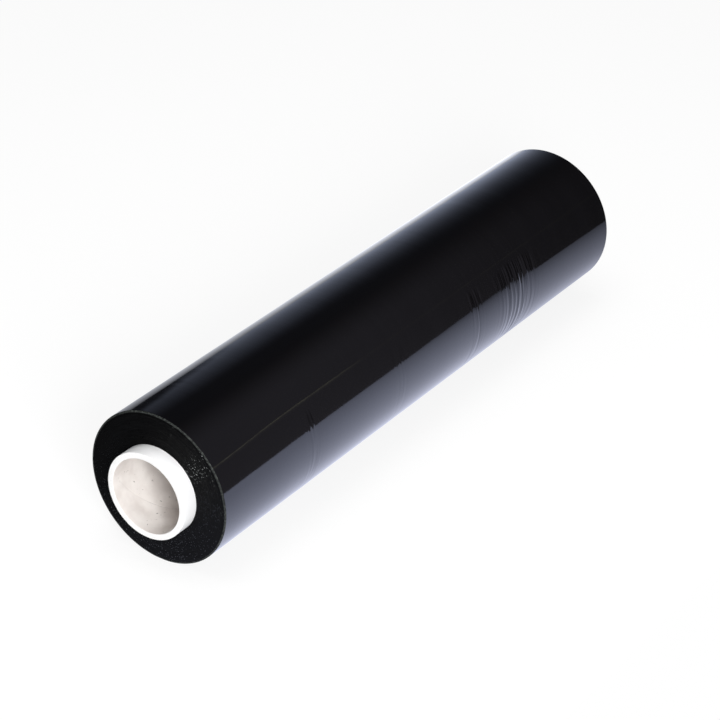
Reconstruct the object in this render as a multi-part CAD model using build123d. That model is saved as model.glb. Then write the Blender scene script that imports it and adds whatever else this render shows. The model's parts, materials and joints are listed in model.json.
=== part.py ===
"""Roll of stretch wrap for hand wrapping pallets: plastic film wound on a board core.

The roll lies on its side. Its axis runs along X, +Z is up, and the origin is on the surface it
lies on, under the middle of the roll. All sizes are in millimetres.
"""

from build123d import *
import math
import os

# Film, wound tight into one solid
FILM_WIDTH = 450.0
FILM_OUTER_RADIUS = 51.5
FILM_RIM_ROUND = 0.7  # the outermost turns roll over slightly at both ends
FLAT_SPOT_WIDTH = 12.0  # wound film gives a little where the roll lies on it

# Core, a spiral-wound tube of board that sticks out at both ends for the dispenser's handles
CORE_BORE_RADIUS = 25.4  # two-inch core
CORE_WALL = 4.0
CORE_OVERHANG = 11.5  # at each end
CORE_MOUTH_ROUND = 0.4  # the cut edges of the board are slightly soft
WINDING_GAP = 0.0  # the first turn is wound straight on to the board

core_outer_radius = CORE_BORE_RADIUS + CORE_WALL
core_length = FILM_WIDTH + 2 * CORE_OVERHANG
film_bore_radius = core_outer_radius + WINDING_GAP
axis_height = math.sqrt(FILM_OUTER_RADIUS**2 - (FLAT_SPOT_WIDTH / 2) ** 2)
roll_axis = Axis((0, 0, axis_height), (1, 0, 0))


def ring_section(length, inner_radius, outer_radius):
    """Half section of a ring about the roll's axis, as a rectangle in the XZ plane."""
    wall = outer_radius - inner_radius
    middle = axis_height + inner_radius + wall / 2
    return Plane.XZ * Location((0, middle)) * Rectangle(length, wall)


def outer_corners(section):
    """The two corners of a half section that are furthest from the axis."""
    return section.vertices().sort_by(Axis.Z)[-2:]


def make_core_tube():
    """Board tube, square cut, with all four edges softened."""
    section = ring_section(core_length, CORE_BORE_RADIUS, core_outer_radius)
    section = fillet(section.vertices(), CORE_MOUTH_ROUND)
    return revolve(section, roll_axis)


def make_film_roll():
    """The wound film: a thick ring on the core, with rounded rims and a flat spot below."""
    section = ring_section(FILM_WIDTH, film_bore_radius, FILM_OUTER_RADIUS)
    section = fillet(outer_corners(section), FILM_RIM_ROUND)
    ring = revolve(section, roll_axis)
    return split(ring, bisect_by=Plane.XY, keep=Keep.TOP)


def main():
    os.makedirs("parts", exist_ok=True)
    nodes = {"core_tube": make_core_tube(), "film_roll": make_film_roll()}
    for name, solid in nodes.items():
        solid.label = name
        export_step(solid, f"parts/{name}.step")
        print(name, "volume", round(solid.volume), "mm3")


main()
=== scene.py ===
# %% [markdown]
# # A roll of black stretch wrap
# Plastic film, half a metre wide, is wound tight on a tube of board. The roll lies on its side on a
# white table. The construction model gives the two pieces their real size and place; this script
# gives them their looks. It starts by loading that model, which is never moved or changed.

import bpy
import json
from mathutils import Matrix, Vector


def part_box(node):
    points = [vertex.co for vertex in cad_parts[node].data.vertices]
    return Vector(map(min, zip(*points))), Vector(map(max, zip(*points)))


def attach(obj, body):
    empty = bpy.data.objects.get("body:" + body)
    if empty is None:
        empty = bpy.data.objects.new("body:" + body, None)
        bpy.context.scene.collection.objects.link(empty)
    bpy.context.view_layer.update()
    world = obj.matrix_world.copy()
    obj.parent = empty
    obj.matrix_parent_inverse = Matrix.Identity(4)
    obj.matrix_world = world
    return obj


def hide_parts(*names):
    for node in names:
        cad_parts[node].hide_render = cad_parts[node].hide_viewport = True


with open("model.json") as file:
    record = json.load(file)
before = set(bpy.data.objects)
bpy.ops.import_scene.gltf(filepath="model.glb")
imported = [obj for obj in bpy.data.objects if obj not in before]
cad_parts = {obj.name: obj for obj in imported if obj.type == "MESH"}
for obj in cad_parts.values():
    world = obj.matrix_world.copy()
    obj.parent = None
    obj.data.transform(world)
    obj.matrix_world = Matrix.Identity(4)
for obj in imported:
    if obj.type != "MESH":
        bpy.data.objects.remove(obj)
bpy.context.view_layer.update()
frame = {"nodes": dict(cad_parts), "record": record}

import json
import math
import bpy
from mathutils import Matrix, Vector

print("pieces in the frame:", sorted(frame["nodes"]))

# %% [markdown]
# ## Sizes
# Every size below is read from the construction model, in metres, so the pieces made here always
# fit it. The roll's axis runs along X. The bore of the core is a mount in the record, which says
# how high the axis lies above the table.

# %% Read the sizes
bore_mount = next(m for m in frame["record"]["mounts"] if m["name"] == "core_bore")
film_low, film_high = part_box("film_roll")
core_low, core_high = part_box("core_tube")

MM = 0.001
AXIS_HEIGHT = bore_mount["pos_m"][2]
BORE_RADIUS = bore_mount["dims"]["r_mm"] * MM
CORE_RADIUS = core_high[2] - AXIS_HEIGHT
CORE_HALF = core_high[0]
FILM_RADIUS = film_high[2] - AXIS_HEIGHT
FILM_HALF = film_high[0]
FULL_TURN = 2 * math.pi

print(f"film {2 * FILM_HALF:.3f} wide, {2 * FILM_RADIUS:.3f} across")
print(f"core {2 * CORE_HALF:.3f} long, {2 * CORE_RADIUS:.4f} across, bore {2 * BORE_RADIUS:.4f}")

# %% [markdown]
# ## A short way to write nodes
# Shader trees and geometry trees are wired in the same way, so one small helper serves both. It
# adds a node, fills its inputs, and links whatever is handed to it as a socket.


# %% Node helper
class Nodes:
    """Adds nodes to one tree and wires them as they are made."""

    def __init__(self, tree):
        self.tree = tree

    def fill(self, socket, value):
        """Links the value if it is another node's output, or else writes it on the socket."""
        if isinstance(value, bpy.types.NodeSocket):
            self.tree.links.new(value, socket)
        elif value is not None:
            socket.default_value = value

    def add(self, kind, settings=None, **inputs):
        """Adds a node. Inputs go by name, with _ for a space, or by number, as in i0."""
        node = self.tree.nodes.new(kind)
        for name, value in (settings or {}).items():
            setattr(node, name, value)
        for name, value in inputs.items():
            by_number = name[0] == "i" and name[1:].isdigit()
            key = int(name[1:]) if by_number else name.replace("_", " ")
            self.fill(node.inputs[key], value)
        return node

    def math(self, operation, a, b=None, c=None):
        node = self.add("ShaderNodeMath", {"operation": operation})
        for socket, value in zip(node.inputs, (a, b, c)):
            self.fill(socket, value)
        return node.outputs[0]

    def vector(self, operation, a, b=None):
        node = self.add("ShaderNodeVectorMath", {"operation": operation}, i0=a, i1=b)
        gives_number = operation in ("LENGTH", "DOT_PRODUCT", "DISTANCE")
        return node.outputs["Value" if gives_number else "Vector"]

    def scaled(self, vector, factor):
        node = self.add("ShaderNodeVectorMath", {"operation": "SCALE"}, i0=vector, Scale=factor)
        return node.outputs[0]

    def xyz(self, x=0.0, y=0.0, z=0.0):
        return self.add("ShaderNodeCombineXYZ", X=x, Y=y, Z=z).outputs[0]

    def split(self, vector):
        node = self.add("ShaderNodeSeparateXYZ", i0=vector)
        return node.outputs[0], node.outputs[1], node.outputs[2]

    def mix(self, factor, a, b):
        """Goes from a to b as factor goes from 0 to 1."""
        node = self.add("ShaderNodeMix", {"data_type": "FLOAT"}, i0=factor, i2=a, i3=b)
        return node.outputs[0]

    def mix_vector(self, factor, a, b):
        node = self.add("ShaderNodeMix", {"data_type": "VECTOR"}, i0=factor, i4=a, i5=b)
        return node.outputs[1]

    def mix_colour(self, factor, a, b):
        node = self.add("ShaderNodeMix", {"data_type": "RGBA"}, i0=factor, i6=a, i7=b)
        return node.outputs[2]

    def ramp(self, value, low, high, to_low=0.0, to_high=1.0, smooth=True):
        """Takes low..high to to_low..to_high and holds the ends."""
        kind = {"interpolation_type": "SMOOTHSTEP" if smooth else "LINEAR"}
        node = self.add("ShaderNodeMapRange", kind, Value=value)
        for name, number in zip(("From Min", "From Max", "To Min", "To Max"), (low, high, to_low, to_high)):
            self.fill(node.inputs[name], number)
        return node.outputs[0]

    def bump_at(self, distance, width):
        """A smooth hump that is 1 where the distance is 0 and fades over the width."""
        share = self.math("DIVIDE", distance, width)
        return self.math("EXPONENT", self.math("MULTIPLY", self.math("MULTIPLY", share, share), -1.0))

    def noise(self, vector, scale=1.0, detail=2.0, roughness=0.5, output=0):
        node = self.add(
            "ShaderNodeTexNoise", Vector=vector, Scale=scale, Detail=detail, Roughness=roughness
        )
        return node.outputs[output]


def new_group(name, kind, inputs, outputs):
    """Makes an empty node group with named sockets, each given as (name, type, default)."""
    tree = bpy.data.node_groups.new(name, kind)
    for in_out, sockets in (("INPUT", inputs), ("OUTPUT", outputs)):
        for socket_name, socket_type, default in sockets:
            socket = tree.interface.new_socket(
                socket_name, in_out=in_out, socket_type="NodeSocket" + socket_type
            )
            if default is not None:
                socket.default_value = default
    nodes = Nodes(tree)
    given = nodes.add("NodeGroupInput")
    result = nodes.add("NodeGroupOutput")
    return tree, nodes, given.outputs, result.inputs


# %% [markdown]
# ## One tree that winds both pieces
# The film and the core are both rings about the same axis, so one geometry tree makes both. It
# draws the ring's half section as a rectangle, rounds its corners, cuts its sides into short
# steps, and pulls it round a circle. A Screw modifier could spin the section too, but its last
# column always meets its first. Here they stay apart, because that is where the film's free end
# stands proud of the turn below, and where two plies of board meet.
#
# The tree hands on three numbers for each point: how far along the axis it lies, how far out,
# and how far round, from 0 to 1. Each piece then shapes itself from those.


# %% The winding tree
def make_winding_tree():
    tree, n, given, result = new_group(
        "Ring section pulled round a circle",
        "GeometryNodeTree",
        [
            ("Half Length", "Float", 0.2),
            ("Inner Radius", "Float", 0.02),
            ("Outer Radius", "Float", 0.05),
            ("Inner Round", "Float", 0.0),
            ("Outer Round", "Float", 0.001),
            ("Columns", "Int", 360),
            ("Face Step", "Float", 0.001),
            ("Outer Step", "Float", 0.004),
            ("Inner Step", "Float", 0.1),
        ],
        [
            ("Mesh", "Geometry", None),
            ("Along", "Float", None),
            ("Out", "Float", None),
            ("Round", "Float", None),
        ],
    )
    # The section, as a rectangle with rounded corners
    section = n.add(
        "GeometryNodeCurvePrimitiveQuadrilateral",
        Width=n.math("MULTIPLY", given["Half Length"], 2.0),
        Height=n.math("SUBTRACT", given["Outer Radius"], given["Inner Radius"]),
    ).outputs[0]
    here = n.add("GeometryNodeInputPosition").outputs[0]
    here_x, here_y, _ = n.split(here)
    is_outer = n.math("GREATER_THAN", here_y, 0.0)
    rounding = n.mix(is_outer, given["Inner Round"], given["Outer Round"])
    rounded = n.add(
        "GeometryNodeFilletCurve", {"mode": "POLY"}, Curve=section, Count=5, Radius=rounding
    ).outputs[0]

    # Each side is cut into steps of the length that suits it
    follower = n.add("GeometryNodeOffsetPointInCurve", Offset=1).outputs["Point Index"]
    there = n.add("GeometryNodeFieldAtIndex", {"data_type": "FLOAT_VECTOR"}, Value=here, Index=follower)
    side = n.vector("SUBTRACT", there.outputs[0], here)
    side_x, side_y, _ = n.split(side)
    runs_along = n.math("GREATER_THAN", n.math("ABSOLUTE", side_x), n.math("ABSOLUTE", side_y))
    wall_step = n.mix(is_outer, given["Inner Step"], given["Outer Step"])
    step = n.mix(runs_along, given["Face Step"], wall_step)
    cuts = n.math("FLOOR", n.math("DIVIDE", n.vector("LENGTH", side), step))
    stepped = n.add("GeometryNodeSubdivideCurve", Curve=rounded, Cuts=cuts).outputs[0]

    # Where each point lies is noted before the section is pulled round
    kept = n.add("GeometryNodeCaptureAttribute", Geometry=stepped)
    kept.capture_items.new("FLOAT", "Along")
    kept.capture_items.new("FLOAT", "Out")
    middle = n.math("MULTIPLY", n.math("ADD", given["Inner Radius"], given["Outer Radius"]), 0.5)
    n.fill(kept.inputs["Along"], here_x)
    n.fill(kept.inputs["Out"], n.math("ADD", here_y, middle))

    circle = n.add("GeometryNodeCurvePrimitiveCircle", Resolution=given["Columns"]).outputs[0]
    turned = n.add("GeometryNodeCaptureAttribute", Geometry=circle)
    turned.capture_items.new("FLOAT", "Round")
    last = n.math("SUBTRACT", given["Columns"], 1.0)
    index = n.add("GeometryNodeInputIndex").outputs[0]
    n.fill(turned.inputs["Round"], n.math("DIVIDE", index, last))

    swept = n.add("GeometryNodeCurveToMesh", Curve=turned.outputs[0], Profile_Curve=kept.outputs[0])
    n.fill(result["Mesh"], swept.outputs[0])
    n.fill(result["Along"], kept.outputs["Along"])
    n.fill(result["Out"], kept.outputs["Out"])
    n.fill(result["Round"], turned.outputs["Round"])
    return tree


winding_tree = make_winding_tree()
print("winding tree:", len(winding_tree.nodes), "nodes")

# %% [markdown]
# ## Helpers for both geometry trees
# The angle round the roll is measured at the axis, from the side that faces the camera (-Y)
# upwards. Columns are crowded together at the gap, where the fine detail is.

# %% Angle, place and finish
GAP = 0.05 * MM  # between the last column and the first


def crowded(n, round_, crowding):
    """Moves the columns towards both ends of the turn: at 0 they are even, near 1 they crowd."""
    wave = n.math("SINE", n.math("MULTIPLY", round_, FULL_TURN))
    return n.math("SUBTRACT", round_, n.math("MULTIPLY", wave, crowding / FULL_TURN))


def crowd_at_rims(n, along, straight, crowding):
    """Moves the rows between the two rims towards them, so that the shading there stays crisp."""
    share = n.ramp(along, n.math("MULTIPLY", straight, -1.0), straight, smooth=False)
    moved = n.math("SUBTRACT", crowded(n, share, crowding), share)
    return n.math("ADD", along, n.math("MULTIPLY", moved, n.math("MULTIPLY", straight, 2.0)))


def place_on_roll(n, mesh, along, out, angle, axis_height):
    """Puts each point at its angle about the axis, and lays it no lower than the table."""
    across = n.math("MULTIPLY", n.math("MULTIPLY", out, n.math("COSINE", angle)), -1.0)
    up = n.math("ADD", n.math("MULTIPLY", out, n.math("SINE", angle)), axis_height)
    on_table = n.math("MAXIMUM", up, 0.0)
    return n.add("GeometryNodeSetPosition", Geometry=mesh, Position=n.xyz(along, across, on_table)).outputs[0]


def finish_mesh(n, mesh):
    """Turns the faces outwards and shades them smooth."""
    outwards = n.add("GeometryNodeFlipFaces", Mesh=mesh).outputs[0]
    smooth = n.add("GeometryNodeSetShadeSmooth", Geometry=outwards).outputs[0]
    return n.add("GeometryNodeRealizeInstances", Geometry=smooth).outputs[0]


def mesh_from_tree(name, tree, values):
    """Runs a geometry tree on an empty mesh and keeps the result as a plain mesh object."""
    seedling = bpy.data.objects.new(name + "_tree", bpy.data.meshes.new(name + "_tree"))
    bpy.context.scene.collection.objects.link(seedling)
    modifier = seedling.modifiers.new("Nodes", "NODES")
    modifier.node_group = tree
    for item in tree.interface.items_tree:
        if item.in_out == "INPUT" and item.name in values:
            modifier[item.identifier] = values[item.name]
    graph = bpy.context.evaluated_depsgraph_get()
    mesh = bpy.data.meshes.new_from_object(seedling.evaluated_get(graph), depsgraph=graph)
    mesh.name = name
    seedling.modifiers.remove(modifier)
    bpy.data.objects.remove(seedling)
    piece = bpy.data.objects.new(name, mesh)
    bpy.context.scene.collection.objects.link(piece)
    return piece


# %% [markdown]
# ## The wound film
# Film is stretched tight on the core, turn after turn. From outside it is a nearly perfect
# cylinder, but a few things give it away: the free end of the last turn, whose edge lifts a
# little; soft bands round the roll where the film is a hair thicker; and end faces made of
# thousands of film edges, which never lie quite level. Displacing a cylinder by an image could
# not follow these. Each follows a rule, so the geometry tree works them out.

# %% Film sizes
FREE_END_ANGLE = math.radians(36.9)  # where the free end lies, above the level of the axis
FREE_END_SKEW = math.radians(2.2)  # how far it drops towards the near end
RIM_ROUND = 0.7 * MM
OUTER_GROOVE = 1.5 * MM  # in from the outside, where the last turns stand away from the rest

FILM_VALUES = {
    "Half Length": FILM_HALF,
    "Core Radius": CORE_RADIUS,
    "Outer Radius": FILM_RADIUS,
    "Axis Height": AXIS_HEIGHT,
    "Rim Round": RIM_ROUND,
    "Columns": 340,
    "Face Step": 0.42 * MM,
    "Outer Step": 3.4 * MM,
    "Film Step": 0.05 * MM,
    "Lip": 0.22 * MM,
}


# %% The film tree
def make_film_tree(side_material, end_material):
    tree, n, given, result = new_group(
        "Wound film",
        "GeometryNodeTree",
        [
            ("Half Length", "Float", 0.2),
            ("Core Radius", "Float", 0.03),
            ("Outer Radius", "Float", 0.05),
            ("Axis Height", "Float", 0.05),
            ("Rim Round", "Float", 0.001),
            ("Columns", "Int", 340),
            ("Face Step", "Float", 0.0005),
            ("Outer Step", "Float", 0.004),
            ("Film Step", "Float", 0.0001),
            ("Lip", "Float", 0.0002),
        ],
        [("Geometry", "Geometry", None)],
    )
    ring = n.add("GeometryNodeGroup", {"node_tree": winding_tree}, Inner_Step=1.0, Inner_Round=0.0)
    for name in ("Half Length", "Outer Radius", "Columns", "Face Step", "Outer Step"):
        n.fill(ring.inputs[name], given[name])
    n.fill(ring.inputs["Inner Radius"], given["Core Radius"])
    n.fill(ring.inputs["Outer Round"], given["Rim Round"])
    mesh, along, out, round_ = ring.outputs
    straight = n.math("SUBTRACT", given["Half Length"], given["Rim Round"])
    along = crowd_at_rims(n, along, straight, 0.85)

    # The angle of each column, with the free end a little out of true
    turn = crowded(n, round_, 0.85)
    gap_turn = 1.0 - GAP / (FULL_TURN * FILM_RADIUS)
    towards_near = n.ramp(along, -150 * MM, -FILM_HALF)
    ragged = n.noise(n.xyz(along), scale=160.0, detail=3.0)
    ragged_by = n.math("MULTIPLY", n.math("SUBTRACT", ragged, 0.5), math.radians(0.9))
    skew = n.math("SUBTRACT", ragged_by, n.math("MULTIPLY", towards_near, FREE_END_SKEW))
    both_ends = n.math("SUBTRACT", n.math("MULTIPLY", round_, 2.0), 1.0)
    near_gap = n.math("MULTIPLY", both_ends, both_ends)
    angle = n.math("ADD", n.math("MULTIPLY", turn, FULL_TURN * gap_turn), FREE_END_ANGLE)
    angle = n.math("ADD", angle, n.math("MULTIPLY", skew, near_gap))
    about = n.xyz(n.math("COSINE", angle), n.math("SINE", angle))

    # The outside grows by one step each turn, and its free edge lifts
    is_skin = n.math("GREATER_THAN", out, n.math("SUBTRACT", given["Outer Radius"], given["Rim Round"]))
    from_edge = n.math("MULTIPLY", n.math("SUBTRACT", 1.0, turn), FULL_TURN * FILM_RADIUS)
    lift = n.math("EXPONENT", n.math("DIVIDE", from_edge, -0.45 * MM))
    lifted_here = n.ramp(n.noise(n.xyz(along, 3.0), scale=70.0), 0.3, 0.6, 0.35, 1.0)
    stuck_down = n.ramp(along, -110 * MM, -60 * MM, 1.0, 0.12)
    free_edge = n.math("MULTIPLY", n.math("MULTIPLY", lift, lifted_here), stuck_down)
    growth = n.math("MULTIPLY", turn, given["Film Step"])
    growth = n.math("ADD", growth, n.math("MULTIPLY", free_edge, given["Lip"]))

    # Soft bands where the film is a hair thicker
    band_place = n.vector("ADD", n.xyz(0.0, 0.0, n.math("MULTIPLY", along, 42.0)), n.scaled(about, 0.35))
    bands = n.math("SUBTRACT", n.noise(band_place, detail=1.0), 0.5)
    growth = n.math("ADD", growth, n.math("MULTIPLY", bands, 0.12 * MM))
    out_now = n.math("ADD", out, n.math("MULTIPLY", growth, is_skin))

    # End faces: rings that never lie level, and a groove inside the last turns
    end_starts = n.math("SUBTRACT", given["Half Length"], 0.01 * MM)
    is_end = n.math("GREATER_THAN", n.math("ABSOLUTE", along), end_starts)
    inside_rim = n.math("SUBTRACT", n.math("SUBTRACT", given["Outer Radius"], OUTER_GROOVE), out)
    groove = n.bump_at(inside_rim, 0.3 * MM)
    turns_place = n.vector("ADD", n.xyz(0.0, 0.0, n.math("MULTIPLY", out, 2600.0)), n.scaled(about, 3.0))
    level = n.math("SUBTRACT", n.noise(turns_place, detail=2.0), 0.5)
    slow_place = n.vector("ADD", n.xyz(0.0, 0.0, n.math("MULTIPLY", out, 260.0)), about)
    slow = n.math("SUBTRACT", n.noise(slow_place, detail=1.0), 0.5)
    stands = n.math("ADD", n.math("MULTIPLY", level, 0.16 * MM), n.math("MULTIPLY", slow, 0.5 * MM))
    stands = n.math("SUBTRACT", stands, n.math("MULTIPLY", groove, 0.35 * MM))
    stands = n.math("MULTIPLY", n.math("MULTIPLY", stands, is_end), n.math("SIGN", along))
    along_now = n.math("ADD", along, stands)

    placed = place_on_roll(n, mesh, along_now, out_now, angle, given["Axis Height"])
    to_rim = n.math("SUBTRACT", n.math("ABSOLUTE", along), straight)
    is_cut = n.math("GREATER_THAN", to_rim, n.math("MULTIPLY", given["Rim Round"], 0.1))
    # The free edge also gets a painted highlight in the film's colour; this mask says where.
    edge_highlight_mask = n.math("MULTIPLY", free_edge, is_skin)
    marked = n.add(
        "GeometryNodeStoreNamedAttribute", Geometry=placed, Name="free_edge", Value=edge_highlight_mask
    ).outputs[0]
    sided = n.add("GeometryNodeSetMaterial", Geometry=marked, Material=side_material).outputs[0]
    ended = n.add(
        "GeometryNodeSetMaterial", Geometry=sided, Selection=is_cut, Material=end_material
    ).outputs[0]
    n.fill(result["Geometry"], finish_mesh(n, ended))
    return tree


# %% [markdown]
# ## The board core
# The core is wound too, from strips of board laid in a spiral, with a white paper outside. Where
# two strips meet, a fine seam runs round the tube. The columns of the mesh follow that spiral, so
# the seam is simply the place where the last column meets the first. The cut ends are not quite
# level, because the saw leaves the fibres standing.

# %% Core sizes
SEAM_TURN = 99 * MM  # how far along the tube the seam goes in one turn
SEAM_START = math.radians(-61)  # its angle at the middle of the tube
MOUTH_ROUND = 0.4 * MM

CORE_VALUES = {
    "Half Length": CORE_HALF,
    "Bore Radius": BORE_RADIUS,
    "Outer Radius": CORE_RADIUS,
    "Axis Height": AXIS_HEIGHT,
    "Mouth Round": MOUTH_ROUND,
    "Columns": 240,
    "Face Step": 0.5 * MM,
    "Wall Step": 4.0 * MM,
    "Seam Turn": SEAM_TURN,
    "Seam Depth": 0.18 * MM,
}


# %% The core tree
def make_core_tree(outside_material, cut_material, bore_material):
    tree, n, given, result = new_group(
        "Spiral board tube",
        "GeometryNodeTree",
        [
            ("Half Length", "Float", 0.2),
            ("Bore Radius", "Float", 0.025),
            ("Outer Radius", "Float", 0.03),
            ("Axis Height", "Float", 0.05),
            ("Mouth Round", "Float", 0.0004),
            ("Columns", "Int", 240),
            ("Face Step", "Float", 0.0005),
            ("Wall Step", "Float", 0.004),
            ("Seam Turn", "Float", 0.1),
            ("Seam Depth", "Float", 0.0002),
        ],
        [("Geometry", "Geometry", None)],
    )
    ring = n.add("GeometryNodeGroup", {"node_tree": winding_tree})
    for name in ("Half Length", "Outer Radius", "Columns", "Face Step"):
        n.fill(ring.inputs[name], given[name])
    for name in ("Inner Step", "Outer Step"):
        n.fill(ring.inputs[name], given["Wall Step"])
    for name in ("Inner Round", "Outer Round"):
        n.fill(ring.inputs[name], given["Mouth Round"])
    n.fill(ring.inputs["Inner Radius"], given["Bore Radius"])
    mesh, along, out, round_ = ring.outputs

    turn = crowded(n, round_, 0.75)
    gap_turn = 1.0 - GAP / (FULL_TURN * CORE_RADIUS)
    twist = n.math("MULTIPLY", n.math("DIVIDE", along, given["Seam Turn"]), FULL_TURN)
    angle = n.math("ADD", n.math("MULTIPLY", turn, FULL_TURN * gap_turn), SEAM_START)
    angle = n.math("ADD", angle, twist)
    about = n.xyz(n.math("COSINE", angle), n.math("SINE", angle))

    # The seam is a fine groove in both walls
    middle = n.math("MULTIPLY", n.math("ADD", given["Bore Radius"], given["Outer Radius"]), 0.5)
    side = n.math("SIGN", n.math("SUBTRACT", out, middle))
    from_seam = n.math("MULTIPLY", n.math("PINGPONG", turn, 0.5), FULL_TURN * BORE_RADIUS)
    seam = n.bump_at(from_seam, 0.22 * MM)
    to_wall = n.math("ABSOLUTE", n.math("SUBTRACT", out, middle))
    is_wall = n.math("GREATER_THAN", to_wall, n.math("SUBTRACT", CORE_RADIUS - 0.01 * MM, middle))
    inwards = n.math("MULTIPLY", n.math("MULTIPLY", seam, given["Seam Depth"]), side)
    out_now = n.math("SUBTRACT", out, n.math("MULTIPLY", inwards, is_wall))

    # The cut ends
    end_starts = n.math("SUBTRACT", given["Half Length"], given["Mouth Round"])
    near_end = n.math("GREATER_THAN", n.math("ABSOLUTE", along), n.math("SUBTRACT", end_starts, 0.01 * MM))
    cut_place = n.vector("ADD", n.xyz(0.0, 0.0, n.math("MULTIPLY", out, 500.0)), n.scaled(about, 9.0))
    rough = n.math("SUBTRACT", n.noise(cut_place, detail=3.0, roughness=0.6), 0.5)
    rough = n.math("MULTIPLY", n.math("MULTIPLY", rough, 0.3 * MM), near_end)
    along_now = n.math("ADD", along, n.math("MULTIPLY", rough, n.math("SIGN", along)))

    placed = place_on_roll(n, mesh, along_now, out_now, angle, given["Axis Height"])
    is_bore = n.math("LESS_THAN", out, middle)
    is_cut = n.math("GREATER_THAN", n.math("ABSOLUTE", along), n.math("ADD", end_starts, MOUTH_ROUND * 0.6))
    seam_mark = n.add(
        "GeometryNodeStoreNamedAttribute", Geometry=placed, Name="seam", Value=seam
    ).outputs[0]
    dressed = seam_mark
    for chosen, material in ((None, outside_material), (is_bore, bore_material), (is_cut, cut_material)):
        dressed = n.add("GeometryNodeSetMaterial", Geometry=dressed, Material=material)
        n.fill(dressed.inputs["Selection"], chosen)
        dressed = dressed.outputs[0]
    n.fill(result["Geometry"], finish_mesh(n, dressed))
    return tree


# %% [markdown]
# ## Places for the patterns
# Every finish here runs round the roll or along it, never straight through space. One shader
# group turns a point's place into how far along the roll it is, how far out from the axis, and
# which way round. It reads Object coordinates, because each piece sits at the origin with its
# place in its mesh.

# %% The shared shader groups
SHADER = "ShaderNodeTree"


def make_place_group():
    tree, n, given, result = new_group(
        "Place on the roll",
        SHADER,
        [("Axis Height", "Float", 0.05)],
        [("Along", "Float", None), ("Out", "Float", None), ("About", "Vector", None)],
    )
    spot = n.add("ShaderNodeTexCoord").outputs["Object"]
    x, y, z = n.split(spot)
    from_axis = n.xyz(y, n.math("SUBTRACT", z, given["Axis Height"]), 0.0)
    n.fill(result["Along"], x)
    n.fill(result["Out"], n.vector("LENGTH", from_axis))
    n.fill(result["About"], n.vector("NORMALIZE", from_axis))
    return tree


def make_bands_group():
    """Bands that run round the roll: many to the metre one way, few to the turn the other."""
    tree, n, given, result = new_group(
        "Bands round the roll",
        SHADER,
        [
            ("Across", "Float", 0.0),
            ("About", "Vector", None),
            ("Bands Per Metre", "Float", 100.0),
            ("Breaks Round", "Float", 1.0),
            ("Detail", "Float", 2.0),
            ("Height", "Float", 0.001),
        ],
        [("Height", "Float", None), ("Bands", "Float", None)],
    )
    across = n.xyz(0.0, 0.0, n.math("MULTIPLY", given["Across"], given["Bands Per Metre"]))
    spot = n.vector("ADD", across, n.scaled(given["About"], given["Breaks Round"]))
    bands = n.noise(spot, detail=given["Detail"])
    n.fill(result["Bands"], bands)
    centred = n.math("SUBTRACT", bands, 0.5)
    n.fill(result["Height"], n.math("MULTIPLY", centred, given["Height"]))
    return tree


def make_board_group():
    """The fibres and flecks of paper and board."""
    tree, n, given, result = new_group(
        "Board fibres and flecks",
        SHADER,
        [
            ("Vector", "Vector", None),
            ("Fibre Scale", "Float", 900.0),
            ("Fleck Scale", "Float", 350.0),
            ("Fleck Share", "Float", 0.3),
            ("Height", "Float", 0.0001),
        ],
        [
            ("Fibres", "Float", None),
            ("Flecks", "Float", None),
            ("Cloud", "Float", None),
            ("Height", "Float", None),
        ],
    )
    spot = given["Vector"]
    fibres = n.noise(spot, scale=given["Fibre Scale"], detail=4.0, roughness=0.65)
    # A fleck is a scrap of print in the pulp, so its outline is pulled about
    pull = n.vector("SUBTRACT", n.noise(spot, scale=700.0, output=1), (0.5, 0.5, 0.5))
    bent = n.vector("ADD", spot, n.scaled(pull, 3.0 * MM))
    cells = n.add("ShaderNodeTexVoronoi", Vector=bent, Scale=given["Fleck Scale"])
    chance, size, _ = n.split(cells.outputs["Color"])
    wanted = n.math("LESS_THAN", chance, given["Fleck Share"])
    reach = n.ramp(size, 0.0, 1.0, 0.06, 0.26, smooth=False)
    fleck = n.ramp(cells.outputs["Distance"], reach, n.math("MULTIPLY", reach, 0.5))
    n.fill(result["Fibres"], fibres)
    n.fill(result["Flecks"], n.math("MULTIPLY", fleck, wanted))
    n.fill(result["Cloud"], n.noise(spot, scale=70.0, detail=3.0))
    n.fill(result["Height"], n.math("MULTIPLY", fibres, given["Height"]))
    return tree


place_group = make_place_group()
bands_group = make_bands_group()
board_group = make_board_group()


# %% A start for each material
def new_material(name, **settings):
    """A material with one Principled BSDF whose fixed values sit on its own sockets."""
    material = bpy.data.materials.new(name)
    material.use_nodes = True
    n = Nodes(material.node_tree)
    shader = material.node_tree.nodes["Principled BSDF"]
    for socket, value in settings.items():
        n.fill(shader.inputs[socket.replace("_", " ")], value)
    place = n.add("ShaderNodeGroup", {"node_tree": place_group}, Axis_Height=AXIS_HEIGHT)
    return material, n, shader.inputs, place.outputs


def bands(n, across, about, per_metre, breaks, height, detail=2.0):
    return n.add(
        "ShaderNodeGroup",
        {"node_tree": bands_group},
        Across=across,
        About=about,
        Bands_Per_Metre=per_metre,
        Breaks_Round=breaks,
        Detail=detail,
        Height=height,
    ).outputs


def bump(n, height):
    """Heights are in metres, so the bump is as deep as it says."""
    return n.add("ShaderNodeBump", Strength=1.0, Distance=1.0, Height=height).outputs[0]


# %% [markdown]
# ## The film's finish
# Black film is nearly all reflection: what is seen is the room, and the colour under it is close
# to nothing. So the base stays dark, except for a painted highlight along the free edge, and the
# work goes into the surface. Soft bands and fine ripples run round the roll, because film is never
# quite even across its width, and they break up the edges of whatever it mirrors.


# %% Film, outside
PUCKERS = (  # along the roll, how wide, how strong
    (-134 * MM, 5 * MM, 0.25),
    (-38 * MM, 5 * MM, 0.2),
    (54 * MM, 6 * MM, 0.45),
    (105 * MM, 16 * MM, 1.0),
)


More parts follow.
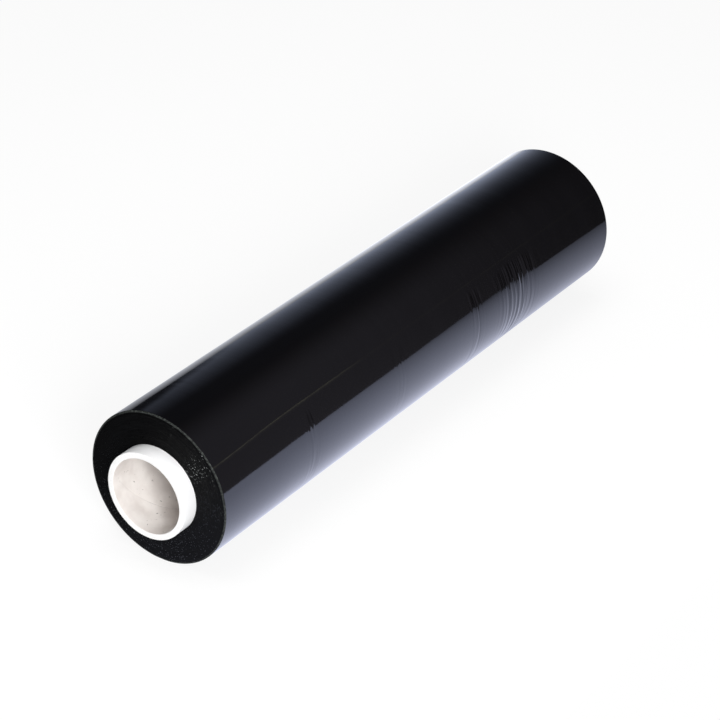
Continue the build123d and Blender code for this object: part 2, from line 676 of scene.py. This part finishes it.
def make_film_side():
    material, n, shader, place = new_material(
        "film_side", IOR=1.5, Specular_IOR_Level=0.75, Specular_Tint=(0.86, 0.9, 1.0, 1.0)
    )
    along, about = place["Along"], place["About"]
    soft = bands(n, along, about, 120.0, 0.6, 0.03 * MM)
    fine = bands(n, along, about, 900.0, 2.5, 0.004 * MM, detail=3.0)

    # Short puckers on the side that was pulled hardest
    y, z, _ = n.split(about)
    puckered = n.math("MULTIPLY", n.ramp(z, 0.55, 0.4), n.ramp(y, -0.6, -0.8))
    strength = 0.0
    for middle, width, share in PUCKERS:
        hump = n.bump_at(n.math("SUBTRACT", along, middle), width)
        strength = n.math("ADD", strength, n.math("MULTIPLY", hump, share))
    pleats = bands(n, along, about, 300.0, 1.2, 1.3 * MM, detail=1.0)
    pleat = n.math("MULTIPLY", pleats["Height"], n.math("MULTIPLY", puckered, strength))

    height = n.math("ADD", n.math("ADD", soft["Height"], fine["Height"]), pleat)
    n.fill(shader["Normal"], bump(n, height))
    # Painted highlight: a paler, yellowish colour along the lifted free edge stands in for the light it
    # catches.
    edge = n.add("ShaderNodeAttribute", {"attribute_name": "free_edge"}).outputs["Fac"]
    black, edge_highlight_colour = (0.0026, 0.0024, 0.0028, 1.0), (0.035, 0.034, 0.024, 1.0)
    n.fill(shader["Base Color"], n.mix_colour(edge, black, edge_highlight_colour))
    n.fill(shader["Roughness"], n.ramp(fine["Bands"], 0.3, 0.7, 0.05, 0.09))
    return material


# %% [markdown]
# The end of the roll is thousands of cut edges, one behind the other, and light that falls
# between them doesn't come back, so it looks blacker than the side. Here and there an edge was
# smeared outwards by the knife, and glints. Each glint is a cell of a Voronoi texture whose own
# normal leans away from the axis, so it lights up only where the lamp suits it. The outermost
# turns stand a little apart, and a paler colour along them is partly their own tone and partly a
# painted highlight of the rounded rim.

# %% Film, ends
GLINT_ROUND = 31.0  # cells along a radian
GLINT_ACROSS = 1350.0  # cells to the metre, across the turns
GLINT_BAND = 36.5 * MM  # how far out they are thickest
RIM_WIDTH = 1.0 * MM


def make_glints(n, place):
    """Returns where the glints are, and which way the surface faces there."""
    out, about = place["Out"], place["About"]
    spot = n.vector("ADD", n.scaled(about, GLINT_ROUND), n.xyz(0.0, 0.0, n.math("MULTIPLY", out, GLINT_ACROSS)))
    cells = n.add("ShaderNodeTexVoronoi", Vector=spot, Scale=1.0)
    chance, lean, size = n.split(cells.outputs["Color"])
    thick = n.bump_at(n.math("SUBTRACT", out, GLINT_BAND), 2.5 * MM)
    wanted = n.math("LESS_THAN", chance, n.math("ADD", n.math("MULTIPLY", thick, 0.4), 0.35))
    inside = n.math("LESS_THAN", cells.outputs["Distance"], n.ramp(size, 0.0, 1.0, 0.18, 0.42, smooth=False))
    y, z, _ = n.split(about)
    facing = n.add("ShaderNodeNewGeometry").outputs["Normal"]
    tilt = n.ramp(lean, 0.0, 1.0, math.tan(math.radians(38)), math.tan(math.radians(62)), smooth=False)
    leaning = n.vector("NORMALIZE", n.vector("ADD", facing, n.scaled(n.xyz(0.0, y, z), tilt)))
    return n.math("MULTIPLY", wanted, inside), leaning


def make_film_ends():
    material, n, shader, place = new_material("film_ends", IOR=1.5, Specular_IOR_Level=0.05)
    out, about = place["Out"], place["About"]
    turns = bands(n, out, about, 1900.0, 7.0, 0.3 * MM, detail=1.0)
    glint, leaning = make_glints(n, place)
    plain = bump(n, turns["Height"])
    n.fill(shader["Normal"], n.mix_vector(glint, plain, leaning))
    n.fill(shader["Metallic"], glint)

    # Paler outermost turns: partly their own tone, partly a painted highlight of the rounded rim.
    rim = n.ramp(out, FILM_RADIUS - RIM_WIDTH * 1.3, FILM_RADIUS - RIM_WIDTH * 0.8)
    broken = n.noise(n.vector("ADD", n.scaled(about, 40.0), n.xyz(0.0, 0.0, n.math("MULTIPLY", out, 900.0))))
    rim_tone_and_highlight = n.math("MULTIPLY", rim, n.ramp(broken, 0.35, 0.65, 0.25, 1.0))
    black = n.mix_colour(turns["Bands"], (0.0012, 0.0012, 0.0013, 1.0), (0.003, 0.003, 0.0032, 1.0))
    colour = n.mix_colour(rim_tone_and_highlight, black, (0.05, 0.055, 0.052, 1.0))
    n.fill(shader["Base Color"], n.mix_colour(glint, colour, (0.025, 0.026, 0.026, 1.0)))
    n.fill(shader["Roughness"], n.mix(glint, 0.5, 0.32))
    return material


# %% [markdown]
# ## The board's finish
# The same fibres show in three ways: smooth white paper outside, a fuzzy cut edge, and grey
# recycled board in the bore, with dark specks in it.


# %% Board materials
def board(n, place, fibre, fleck, fleck_share, height):
    y, z, _ = n.split(place["About"])
    out = n.scaled(n.xyz(0.0, y, z), place["Out"])
    return n.add(
        "ShaderNodeGroup",
        {"node_tree": board_group},
        Vector=n.vector("ADD", out, n.xyz(place["Along"])),
        Fibre_Scale=fibre,
        Fleck_Scale=fleck,
        Fleck_Share=fleck_share,
        Height=height,
    ).outputs


def make_white_paper():
    material, n, shader, place = new_material("white_paper", Specular_IOR_Level=0.3, Roughness=0.55)
    pattern = board(n, place, 1200.0, 300.0, 0.0, 0.015 * MM)
    tone = n.ramp(pattern["Cloud"], 0.3, 0.7)
    colour = n.mix_colour(tone, (0.86, 0.86, 0.865, 1.0), (0.9, 0.9, 0.905, 1.0))
    n.fill(shader["Base Color"], colour)
    n.fill(shader["Normal"], bump(n, pattern["Height"]))
    return material


def make_cut_board():
    material, n, shader, place = new_material("cut_board", Specular_IOR_Level=0.2, Roughness=0.9)
    pattern = board(n, place, 1500.0, 500.0, 0.2, 0.04 * MM)
    tone = n.ramp(pattern["Fibres"], 0.3, 0.7)
    colour = n.mix_colour(tone, (0.8, 0.795, 0.79, 1.0), (0.88, 0.88, 0.88, 1.0))
    colour = n.mix_colour(n.math("MULTIPLY", pattern["Flecks"], 0.3), colour, (0.5, 0.48, 0.46, 1.0))
    n.fill(shader["Base Color"], colour)
    n.fill(shader["Normal"], bump(n, pattern["Height"]))
    return material


def make_grey_board():
    material, n, shader, place = new_material("grey_board", Specular_IOR_Level=0.25, Roughness=0.85)
    pattern = board(n, place, 1100.0, 420.0, 0.35, 0.05 * MM)
    tone = n.ramp(pattern["Cloud"], 0.3, 0.7)
    colour = n.mix_colour(tone, (0.66, 0.61, 0.58, 1.0), (0.8, 0.76, 0.73, 1.0))
    colour = n.mix_colour(n.math("MULTIPLY", pattern["Flecks"], 0.75), colour, (0.2, 0.18, 0.16, 1.0))
    seam = n.add("ShaderNodeAttribute", {"attribute_name": "seam"}).outputs["Fac"]
    pressed_flat = n.ramp(place["Along"], -CORE_HALF + 14 * MM, -CORE_HALF + 24 * MM, 0.1, 0.7)
    colour = n.mix_colour(n.math("MULTIPLY", seam, pressed_flat), colour, (0.15, 0.13, 0.12, 1.0))
    n.fill(shader["Base Color"], colour)
    n.fill(shader["Normal"], bump(n, pattern["Height"]))
    return material


# %% Wind the film and the core
wound_film = mesh_from_tree("wound_film", make_film_tree(make_film_side(), make_film_ends()), FILM_VALUES)
board_tube = mesh_from_tree(
    "board_tube", make_core_tree(make_white_paper(), make_cut_board(), make_grey_board()), CORE_VALUES
)
for piece, node, slot_name in ((wound_film, "film_roll", "film"), (board_tube, "core_tube", "core_board")):
    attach(piece, "root")
    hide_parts(node)
    print(piece.name, len(piece.data.polygons), "faces,", [m.name for m in piece.data.materials])

# %% [markdown]
# ## The table
# A white cloth lies on the table, and stands in for the white page that such a roll is sold on.
# Its front edge is close to the roll, and the film mirrors it: that makes the bright band along
# the bottom of the roll. The camera sees the cloth at a plain white. Mirrors see a glow with the
# fall-off of the light across it and the roll's shadow painted in, and the light that bounces from
# it is worked out as for matt paper.

# %% Table
TABLE_REACH = 4.0
CLOTH_FRONT = (  # x and y along the front edge, which hangs a little unevenly
    (-TABLE_REACH, -0.284),
    (-0.014, -0.284),
    (0.144, -0.334),
    (0.266, -0.334),
    (0.475, -0.379),
    (0.37, -0.25),
    (0.43, -0.2),
    (0.52, -0.14),
    (TABLE_REACH, -0.14),
)


def make_table():
    mesh = bpy.data.meshes.new("table")
    outline = CLOTH_FRONT + ((TABLE_REACH, TABLE_REACH), (-TABLE_REACH, TABLE_REACH))
    mesh.from_pydata([(x, y, 0.0) for x, y in outline], [], [range(len(outline))])
    table = bpy.data.objects.new("table", mesh)
    bpy.context.scene.collection.objects.link(table)
    return table


def light_in_front(n, x, y):
    """The painted glow of the cloth in front: brightest near the roll's near end, with a painted shadow right
    against the roll.
    """
    # Painted fall-off of the light along the cloth.
    along = n.ramp(x, -0.05, 0.6, 1.0, 0.1)
    # Painted shadow: the glow drops right against the roll.
    painted_shadow_by_roll = n.ramp(y, -0.02, -0.05, 0.75, 1.05)
    further = n.ramp(y, -0.06, -0.2, 1.0, 0.86)
    return n.math("MULTIPLY", n.math("MULTIPLY", along, 1.25), n.math("MULTIPLY", painted_shadow_by_roll, further))


def light_behind(n, x, y):
    """Behind, the painted glow fades with distance, and grows towards the far end."""
    near = n.math("POWER", n.math("DIVIDE", y, 0.9), 2.0)
    fade = n.math("ADD", n.math("DIVIDE", 0.65, n.math("ADD", near, 1.0)), 0.5)
    sideways = n.math("DIVIDE", n.math("SUBTRACT", x, y), n.math("ADD", n.math("MULTIPLY", y, 0.5), 1.0))
    return n.math("MULTIPLY", fade, n.ramp(sideways, -0.4, 0.27, 0.12, 1.6, smooth=False))


def make_table_white():
    material = bpy.data.materials.new("table_white")
    material.use_nodes = True
    material.node_tree.nodes.clear()
    n = Nodes(material.node_tree)
    rays = n.add("ShaderNodeLightPath").outputs
    mirrored = n.math("MAXIMUM", rays["Is Glossy Ray"], rays["Is Transmission Ray"])
    looked_at = n.math("MAXIMUM", mirrored, rays["Is Camera Ray"])
    x, y, _ = n.split(n.add("ShaderNodeTexCoord").outputs["Object"])
    is_behind = n.ramp(y, -0.02, 0.1)
    # What mirrors see of the cloth is painted light: the fall-off and the roll's shadow in its glow, and its
    # tint.
    glow = n.mix(is_behind, light_in_front(n, x, y), light_behind(n, x, y))
    tint = n.mix_colour(is_behind, (0.96, 1.0, 1.24, 1.0), (0.97, 1.0, 1.1, 1.0))
    white = n.mix_colour(mirrored, (1.0, 1.0, 1.0, 1.0), tint)
    page = n.add("ShaderNodeEmission", Color=white, Strength=n.mix(mirrored, 0.82, glow)).outputs[0]
    shade = n.add("ShaderNodeBsdfDiffuse", Color=(0.2, 0.2, 0.2, 1.0)).outputs[0]
    shaded = n.add("ShaderNodeAddShader", i0=page, i1=shade).outputs[0]
    plain = n.add("ShaderNodeEmission", Color=white, Strength=glow).outputs[0]
    shown = n.add("ShaderNodeMixShader", i0=mirrored, i1=shaded, i2=plain).outputs[0]
    matt = n.add("ShaderNodeBsdfDiffuse", Color=(0.8, 0.8, 0.8, 1.0)).outputs[0]
    both = n.add("ShaderNodeMixShader", i0=looked_at, i1=matt, i2=shown).outputs[0]
    n.add("ShaderNodeOutputMaterial", Surface=both)
    return material


table = make_table()
table.data.materials.append(make_table_white())


# %% [markdown]
# ## The room and the lamps
# Film shows the whole room, so the room matters as much as the lamps. Behind the roll a pale
# backdrop fades upwards and to the left, in front there is only a dim wall, and overhead it is
# dark. The camera itself sees plain white.

# %% Room
def make_room():
    world = bpy.data.worlds.new("room")
    bpy.context.scene.world = world
    world.use_nodes = True
    world.node_tree.nodes.clear()
    n = Nodes(world.node_tree)
    rays = n.add("ShaderNodeLightPath").outputs
    x, y, z = n.split(n.add("ShaderNodeTexCoord").outputs["Generated"])
    behind = n.ramp(y, 0.0, 0.3)
    rises = n.math("POWER", n.ramp(z, 0.62, 0.0, smooth=False), 1.55)
    sideways = n.math("SUBTRACT", x, y)
    to_right = n.ramp(sideways, -0.09, -0.03)
    grows = n.ramp(sideways, -0.1, 0.15, 0.4, 1.6, smooth=False)
    backdrop = n.math("MULTIPLY", n.math("MULTIPLY", rises, behind), n.math("MULTIPLY", to_right, grows))
    backdrop = n.math("MULTIPLY", backdrop, 0.55)
    in_front = n.ramp(y, 0.2, -0.42)
    to_left = n.ramp(x, 0.82, 0.68)
    wall = n.math("MULTIPLY", n.math("MULTIPLY", in_front, to_left), 0.13)
    glow = n.math("ADD", n.math("ADD", backdrop, wall), 0.02)
    tint = n.mix_colour(behind, (1.04, 0.96, 1.06, 1.0), (0.9, 1.0, 1.28, 1.0))
    mirrored = n.math("MAXIMUM", rays["Is Glossy Ray"], rays["Is Transmission Ray"])
    room = n.add("ShaderNodeBackground", Color=tint, Strength=glow).outputs[0]
    soft = n.add("ShaderNodeBackground", Color=(1.0, 1.0, 1.0, 1.0), Strength=0.3).outputs[0]
    page = n.add("ShaderNodeBackground", Color=(1.0, 1.0, 1.0, 1.0), Strength=1.0).outputs[0]
    mixed = n.add("ShaderNodeMixShader", i0=mirrored, i1=soft, i2=room).outputs[0]
    seen = n.add("ShaderNodeMixShader", i0=rays["Is Camera Ray"], i1=mixed, i2=page).outputs[0]
    n.add("ShaderNodeOutputWorld", Surface=seen)


make_room()


# %% Lamps
def softbox(name, place, aim, size, watts):
    light = bpy.data.lights.new(name, "AREA")
    light.size = size
    light.energy = watts
    lamp = bpy.data.objects.new(name, light)
    lamp.location = place
    lamp.rotation_euler = (Vector(aim) - Vector(place)).to_track_quat("-Z", "Y").to_euler()
    bpy.context.scene.collection.objects.link(lamp)
    return lamp


ROLL_MIDDLE = (0.0, 0.0, AXIS_HEIGHT)
softbox("key_lamp", (-1.5, -1.5, 0.9), ROLL_MIDDLE, 0.7, 50.0)
softbox("top_lamp", (-0.1, 0.1, 1.7), ROLL_MIDDLE, 1.1, 10.0)

# %% [markdown]
# ## The camera
# A long lens from nearly two metres away keeps the roll's two ends close in size.

# %% Camera
AZIMUTH = math.radians(-55.088)
ELEVATION = math.radians(29.718)
CAMERA_DISTANCE = 1.66666
AIM = Vector((-0.00973, 0.00164, 0.03881))
LENS = 125.0


def make_camera():
    forward = Vector(
        (
            -math.sin(AZIMUTH) * math.cos(ELEVATION),
            math.cos(AZIMUTH) * math.cos(ELEVATION),
            -math.sin(ELEVATION),
        )
    )
    data = bpy.data.cameras.new("camera")
    data.lens = LENS
    data.sensor_width = 36.0
    camera = bpy.data.objects.new("camera", data)
    camera.location = AIM - forward * CAMERA_DISTANCE
    camera.rotation_euler = forward.to_track_quat("-Z", "Y").to_euler()
    bpy.context.scene.collection.objects.link(camera)
    bpy.context.scene.camera = camera
    return camera


camera = make_camera()
bpy.context.scene.view_settings.view_transform = "Standard"
print("camera at", [round(v, 4) for v in camera.location])

bpy.context.view_layer.update()
